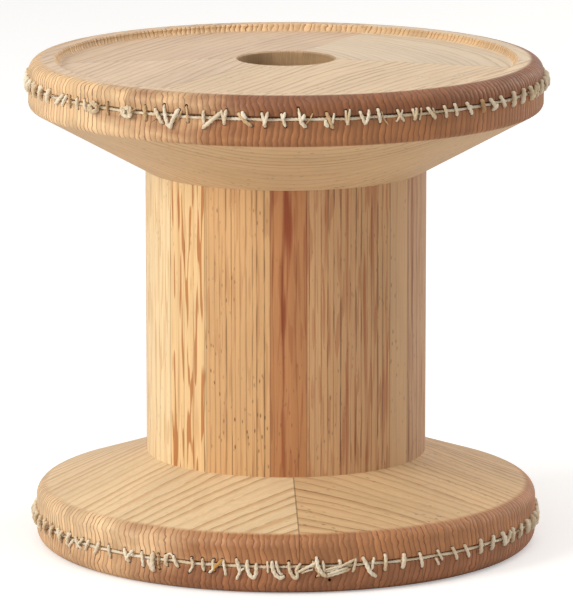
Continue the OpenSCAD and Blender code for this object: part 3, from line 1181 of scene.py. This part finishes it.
@dataclass
class Barrel:
    """The barrel: a core tube inside a ring of glued staves.

    Args:
        cuts: The angles, in degrees from +X, where the staves meet.
        figures: The grain of each stave, in order.
    """

    cuts: tuple[float, ...] = (
        215.5, 236, 263.6, 278.5, 317, 329, 362, 388, 420, 453, 484, 516, 545, 575.5,
    )
    figures: tuple[Grain, ...] = (
        Grain("ecc791", "cf9a5c", "b06a2c", spacing=3.1, late_amount=0.35, fine_amount=0.35,
              warp=1.0, wobble=0.2, streak_amount=0.35, dash_amount=0.85, pore_amount=0.25, seed=1),
        Grain("d9aa74", "b9824c", "a05a2a", spacing=1.25, late_width=0.5, late_amount=0.45,
              fine_amount=0.75, warp=0.4, wobble=0.12, streak_amount=0.15, dash_amount=0.25,
              pore_amount=0.75, seed=2),
        Grain("c08452", "9a5a2c", "8a3c12", spacing=3.4, late_width=0.7, late_amount=0.45,
              fine_amount=0.35, warp=1.2, wobble=0.2, streak_amount=0.95, dash_amount=0.3,
              pore_amount=0.3, seed=3),
        Grain("cfa071", "ad7645", "9c4a1c", spacing=1.35, late_width=0.45, late_amount=0.5,
              fine_amount=0.85, warp=0.5, wobble=0.14, streak_amount=0.5, dash_amount=0.35,
              pore_amount=0.35, seed=4),
        Grain("d2a87c", "c09468", "a86a3c", spacing=3.0, late_amount=0.2, fine_amount=0.2,
              warp=1.0, streak_amount=0.1, pore_amount=0.5, seed=5),
        Grain("cba079", "a87a52", "94502a", spacing=1.9, late_amount=0.5, fine_amount=0.5,
              warp=0.8, streak_amount=0.6, dash_amount=0.2, pore_amount=0.35, seed=6),
        Grain("d8b184", "b98850", "a6642e", spacing=1.5, late_amount=0.5, fine_amount=0.7,
              warp=0.6, streak_amount=0.4, pore_amount=0.35, seed=7),
        Grain("e3c08f", "c8965c", "b06a2c", spacing=2.6, late_amount=0.4, fine_amount=0.35,
              warp=1.0, streak_amount=0.3, dash_amount=0.7, pore_amount=0.3, seed=8),
        Grain("cfa06c", "a8733f", "93501f", spacing=1.3, late_amount=0.5, fine_amount=0.8,
              warp=0.5, streak_amount=0.3, pore_amount=0.7, seed=9),
        Grain("dab583", "bd8c54", "a4602a", spacing=2.2, late_amount=0.5, fine_amount=0.5,
              warp=0.9, streak_amount=0.5, pore_amount=0.35, seed=10),
        Grain("e6c597", "cda068", "b57434", spacing=1.8, late_amount=0.4, fine_amount=0.5,
              warp=0.8, streak_amount=0.2, dash_amount=0.5, pore_amount=0.3, seed=11),
        Grain("c9905c", "a0622f", "8c4014", spacing=2.8, late_amount=0.5, fine_amount=0.4,
              warp=1.2, streak_amount=0.8, pore_amount=0.3, seed=12),
        Grain("efd2a4", "dcb27a", "c08a4a", spacing=2.4, late_amount=0.3, fine_amount=0.3,
              warp=0.9, streak_amount=0.25, dash_amount=0.4, pore_amount=0.3, seed=13),
    )

    def dress(self, nodes: dict[str, bpy.types.Object]) -> None:
        """Gives each stave and the core tube its wood.

        Args:
            nodes: The frame's nodes by name.
        """
        for k, grain in enumerate(self.figures):
            name = f"barrel_stave_{k + 1:02d}"
            cuts = self.cuts[k : k + 2]
            finish = WoodFinish(
                f"planed_stave_wood_{k + 1:02d}", Cut.STAVE, grain, cuts=cuts,
                middle=sum(cuts) / 2, relief_mm=0.12,
            )
            dress_node(nodes[name], finish)
        core = Grain("8f6038", "5f3a1c", spacing=1.6, warp=1.5, pore_amount=0.8, seed=21)
        dress_node(nodes["core_tube"], WoodFinish("bored_core_wood", Cut.TUBE, core, roughness=0.75))


@dataclass
class Flange:
    """One flange of two plies of boards.

    Args:
        boards: For each node, its grain, its edge and the angles of its joints.
    """

    boards: dict[str, tuple[Grain, Edge, tuple[float, ...]]]

    def dress(self, nodes: dict[str, bpy.types.Object]) -> None:
        """Gives each board its wood.

        Args:
            nodes: The frame's nodes by name.
        """
        for name, (grain, edge, cuts) in self.boards.items():
            dress_node(nodes[name], WoodFinish(f"turned_{name}", Cut.BOARD, grain, edge, cuts))


def dress_node(node: bpy.types.Object, finish: WoodFinish) -> None:
    """Puts a finish on a node of the frame.

    Args:
        node: The node's object.
        finish: The wood to give it.
    """
    material = finish.build()
    node.data.materials.clear()
    node.data.materials.append(material)
    log.info("%s: %s", node.name, material.name)


# The dark colour of each edge is painted shade on the front and right side, away from the key lamp on
# the left
FACE_EDGE = Edge(56.0, 52.5, 53.7, 102.1, pale="e2bb8c", dark="8f5833", line="57290f",
                 shade_from=-50, shade_to=-8, curl=0.5, wall_mm=50.3)
UPPER_CONE_EDGE = Edge(56.0, 54.9, 55.5, 102.1, pale="e6c092", dark="ab7043", line="6f3a17",
                       shade_from=-55, shade_to=-5, curl=0.2)
LOWER_CONE_EDGE = Edge(54.8, 52.0, 53.4, 6.2, pale="e4c093", dark="b57a4c", line="6f3a17",
                       shade_from=-60, shade_to=-5, curl=0.4)
FOOT_EDGE = Edge(54.8, 52.0, 53.2, 6.2, pale="d6ab7e", dark="a46a42", line="5d2c10",
                 shade_from=-60, shade_to=-10, curl=0.4, wall_mm=49.1)

UPPER_FLANGE = Flange(
    {
        "face_board_front_left": (
            Grain("d9bd9f", "a98664", "9c6238", angle=67, spacing=2.15, late_amount=0.5,
                  fine_amount=0.45, warp=2.0, pore_amount=0.2, seed=31),
            FACE_EDGE, (178, 233)),
        "face_board_front_right": (
            Grain("dfc3a0", "b28b62", "a9713f", angle=61, spacing=2.0, late_amount=0.55,
                  fine_amount=0.5, warp=3.0, pore_amount=0.45, seed=32),
            FACE_EDGE, (233, 355)),
        "face_board_back_right": (
            Grain("d9c3a6", "b39472", "a97c50", angle=-60, spacing=2.3, late_amount=0.5,
                  fine_amount=0.25, warp=5.0, bow=0.006, pore_amount=0.1, seed=33),
            FACE_EDGE, (-5,)),
        "face_board_back_left": (
            Grain("d4b697", "a9866a", "9c6238", angle=65, spacing=2.3, late_amount=0.5,
                  fine_amount=0.4, warp=2.5, pore_amount=0.2, seed=34),
            FACE_EDGE, (178,)),
        "upper_cone_board_front": (
            Grain("dab78c", "bb8f5e", "b0703a", angle=2, spacing=2.2, late_amount=0.45,
                  fine_amount=0.3, warp=3.5, bow=0.002, streak_amount=0.1, pore_amount=0.5, seed=35),
            UPPER_CONE_EDGE, (183, 363)),
        "upper_cone_board_back": (
            Grain("dcbb90", "b98c58", "b0703a", angle=24, spacing=2.4, late_amount=0.5,
                  fine_amount=0.35, warp=3.0, pore_amount=0.35, seed=36),
            UPPER_CONE_EDGE, (183, 363)),
    }
)

LOWER_FLANGE = Flange(
    {
        "lower_cone_board_left": (
            Grain("e9cda3", "c4905a", "b0662e", angle=33, spacing=3.0, late_width=0.5,
                  late_amount=0.7, fine_amount=0.4, warp=2.5, wobble=0.5, streak_amount=0.12,
                  pore_amount=0.15, seed=41),
            LOWER_CONE_EDGE, (93, 273)),
        "lower_cone_board_right": (
            Grain("dab789", "a8764a", "a4622f", angle=-13, spacing=2.6, late_width=0.55,
                  late_amount=0.6, fine_amount=0.45, warp=3.5, wobble=0.6, streak_amount=0.1,
                  pore_amount=0.6, seed=42),
            LOWER_CONE_EDGE, (-87, 93)),
        "foot_board_back_right": (
            Grain("d8b588", "b08052", "a4622f", angle=77, warp=2.5, seed=43), FOOT_EDGE, (-58, 32)),
        "foot_board_back_left": (
            Grain("cfa877", "a87848", "a4622f", angle=-13, warp=2.5, seed=44), FOOT_EDGE, (32, 122)),
        "foot_board_front_left": (
            Grain("d8b588", "b08052", "a4622f", angle=77, warp=2.5, seed=45), FOOT_EDGE, (122, 212)),
        "foot_board_front_right": (
            Grain("cfa877", "a87848", "a4622f", angle=-13, warp=2.5, seed=46), FOOT_EDGE, (212, 302)),
    }
)


# studio


@dataclass
class Lamp:
    """A soft square lamp that faces the spool."""

    name: str
    place: tuple[float, float, float]
    size: float
    power: float
    colour: str = "ffffff"

    def build(self) -> None:
        """Hangs the lamp and turns it to the middle of the spool."""
        data = bpy.data.lights.new(self.name, "AREA")
        data.shape = "SQUARE"
        data.size = self.size
        data.energy = self.power
        data.color = linear(self.colour)[:3]
        lamp = bpy.data.objects.new(self.name, data)
        bpy.context.scene.collection.objects.link(lamp)
        from_lamp = np.array((0.0, 0.0, 0.055)) - np.array(self.place)
        flat = math.hypot(from_lamp[0], from_lamp[1])
        lamp.location = self.place
        lamp.rotation_euler = (
            math.atan2(flat, -from_lamp[2]),
            0.0,
            math.atan2(from_lamp[1], from_lamp[0]) - math.pi / 2,
        )


@dataclass
class Studio:
    """The floor, the lamps and the camera.

    Args:
        lamps: The lamps.
        floor_half: Half the floor's width.
    """

    lamps: tuple[Lamp, ...] = (
        Lamp("key_left", (-0.95, -0.62, 0.62), 0.55, 10.0, "fffaf2"),
        Lamp("fill_top", (0.15, -0.25, 1.3), 1.0, 5.0),
        Lamp("rim_right", (0.9, 0.75, 0.5), 0.6, 4.0, "fff4e6"),
    )
    floor_half: float = 6.0

    def build(self) -> None:
        """Builds the studio."""
        self.build_floor()
        self.build_world()
        for lamp in self.lamps:
            lamp.build()
        self.build_camera()
        bpy.context.scene.view_settings.view_transform = "Standard"

    def build_floor(self) -> None:
        """Lays a pale matt floor that keeps the spool's shadow."""
        n, h = 24, self.floor_half
        verts = [(h * math.cos(2 * math.pi * k / n), h * math.sin(2 * math.pi * k / n), 0.0)
                 for k in range(n)]
        mesh = bpy.data.meshes.new("floor")
        mesh.from_pydata(verts, [], [tuple(range(n))])
        material, tree = new_material("pale_floor_paper")
        seen = add(tree, "LightPath", out=0)
        glow = add(tree, "Math", (seen, 0.36), operation="MULTIPLY")
        paper = add(tree, "BsdfDiffuse", {"Color": linear("ececec")})
        light = add(tree, "Emission", {"Color": (1.0, 1.0, 1.0, 1.0), "Strength": glow})
        both = add(tree, "AddShader", (paper, light))
        add(tree, "OutputMaterial", (both,))
        mesh.materials.append(material)
        floor = bpy.data.objects.new("floor", mesh)
        bpy.context.scene.collection.objects.link(floor)

    def build_world(self) -> None:
        """Makes the room a plain soft white, and pure white where the camera sees it."""
        world = bpy.data.worlds.new("studio")
        world.use_nodes = True
        tree = world.node_tree
        tree.nodes.clear()
        path = add(tree, "LightPath").node.outputs
        seen = add(tree, "Math", (path[0], path[3]), operation="MAXIMUM")
        power = add(tree, "MapRange", (seen, 0.0, 1.0, 0.40, 1.0))
        glow = add(tree, "Background", {"Color": (1.0, 1.0, 1.0, 1.0), "Strength": power})
        add(tree, "OutputWorld", (glow,))
        bpy.context.scene.world = world

    def build_camera(self) -> None:
        """Sets the camera where the photograph was taken from."""
        data = bpy.data.cameras.new("camera")
        data.sensor_width = 36.0
        data.lens = 5950.14 * 36.0 / 616
        data.shift_x = 0.5 / 616
        data.clip_start, data.clip_end = 0.05, 30.0
        camera = bpy.data.objects.new("camera", data)
        camera.location = (0.0, -1.27818, 0.30011)
        camera.rotation_euler = (math.pi / 2 - 0.1923, 0.0, 0.0)
        bpy.context.scene.collection.objects.link(camera)
        bpy.context.scene.camera = camera


def main() -> None:
    """Dresses the spool and builds the studio."""
    nodes = frame["nodes"]
    Barrel().dress(nodes)
    UPPER_FLANGE.dress(nodes)
    LOWER_FLANGE.dress(nodes)
    Lacing().build()
    Studio().build()


if __name__ == "__main__":
    main()
